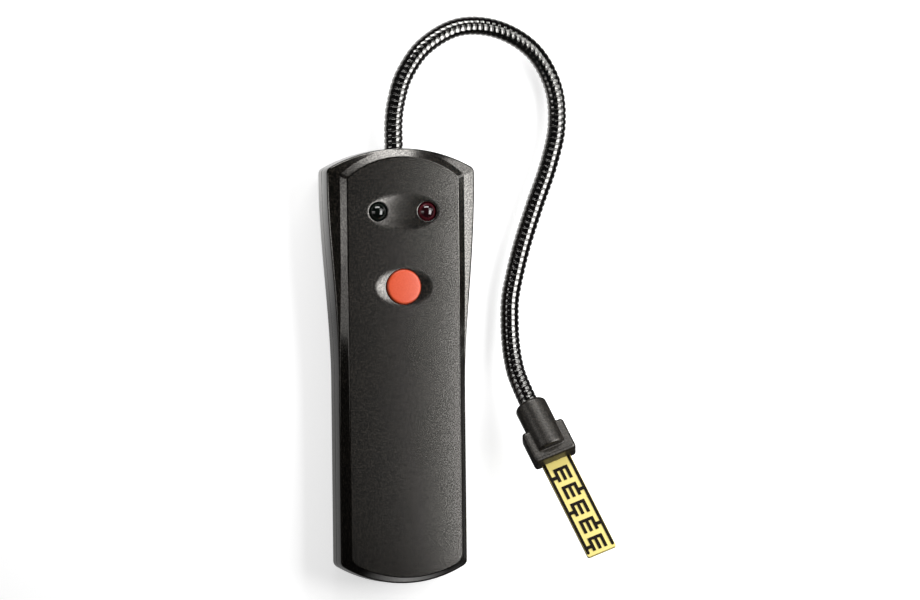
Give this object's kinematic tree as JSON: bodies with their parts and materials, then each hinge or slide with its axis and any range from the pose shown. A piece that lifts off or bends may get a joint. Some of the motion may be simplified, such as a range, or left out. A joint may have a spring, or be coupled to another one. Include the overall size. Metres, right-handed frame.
{
  "type": "flue backdraft detector",
  "caption": "Hand-held flue backdraft detector with two indicator lamps, a push button and a sensor strip on a bent gooseneck probe.",
  "frame": {"origin": "middle of the flat back of the housing, which lies on the surface below it", "axes": "+Y from the middle of the housing to the end that the gooseneck leaves, +Z out of the face with the button, +X across the housing"},
  "size_m": [0.1127, 0.2361, 0.0578],
  "materials": {
    "shell": "fine textured moulding",
    "cover": "fine textured moulding",
    "button": "smooth satin",
    "switch": "moulded",
    "green_lens": "clear tinted, polished",
    "red_lens": "clear tinted, polished",
    "board": "solder mask",
    "component": "moulded",
    "resistor": "lacquered",
    "battery": "printed can, bare of print",
    "red_insulation": "smooth",
    "black_insulation": "smooth",
    "foam": "open cell",
    "steel": "zinc plated",
    "brass": "turned",
    "neck_wire": "glossy black",
    "moulded_rubber": "mottled matt moulding",
    "laminate": "satin laminate",
    "conductor": "satin print"
  },
  "bodies": {
    "housing": {"front_shell": "shell", "back_shell": "shell", "tact_switch_body": "switch", "green_lamp": "green_lens", "red_lamp": "red_lens", "circuit_board": "board", "amplifier_chip": "component", "resistor_1": "resistor", "resistor_2": "resistor", "resistor_3": "resistor", "resistor_4": "resistor", "capacitor": "component", "battery": "battery", "battery_snap": "component", "red_battery_lead": "red_insulation", "black_battery_lead": "black_insulation", "battery_pad": "foam", "shell_screw_1": "steel", "shell_screw_2": "steel", "shell_screw_3": "steel", "shell_screw_4": "steel", "board_screw_1": "steel", "board_screw_2": "steel", "board_screw_3": "steel", "board_screw_4": "steel", "neck_ferrule": "brass", "sensor_plug": "component", "neck_inner_spring": "steel", "neck_outer_wire": "neck_wire", "sensor_cable": "black_insulation", "probe_ferrule": "brass", "probe_moulding": "moulded_rubber", "sensor_strip": "laminate", "left_conductor": "conductor", "right_conductor": "conductor"},
    "button": {"button_cap": "button", "tact_switch_plunger": "switch"},
    "cover": {"battery_cover": "cover"}
  },
  "joints": [
    {"name": "button_press", "type": "slide", "parent": "housing", "child": "button", "axis": [0, 0, -1], "range_m": [0, 0.001], "stiffness_N_per_m": 1500},
    {"name": "cover_slide", "type": "slide", "parent": "housing", "child": "cover", "axis": [0, -1, 0], "range_m": [0, 0.007]}
  ]
}
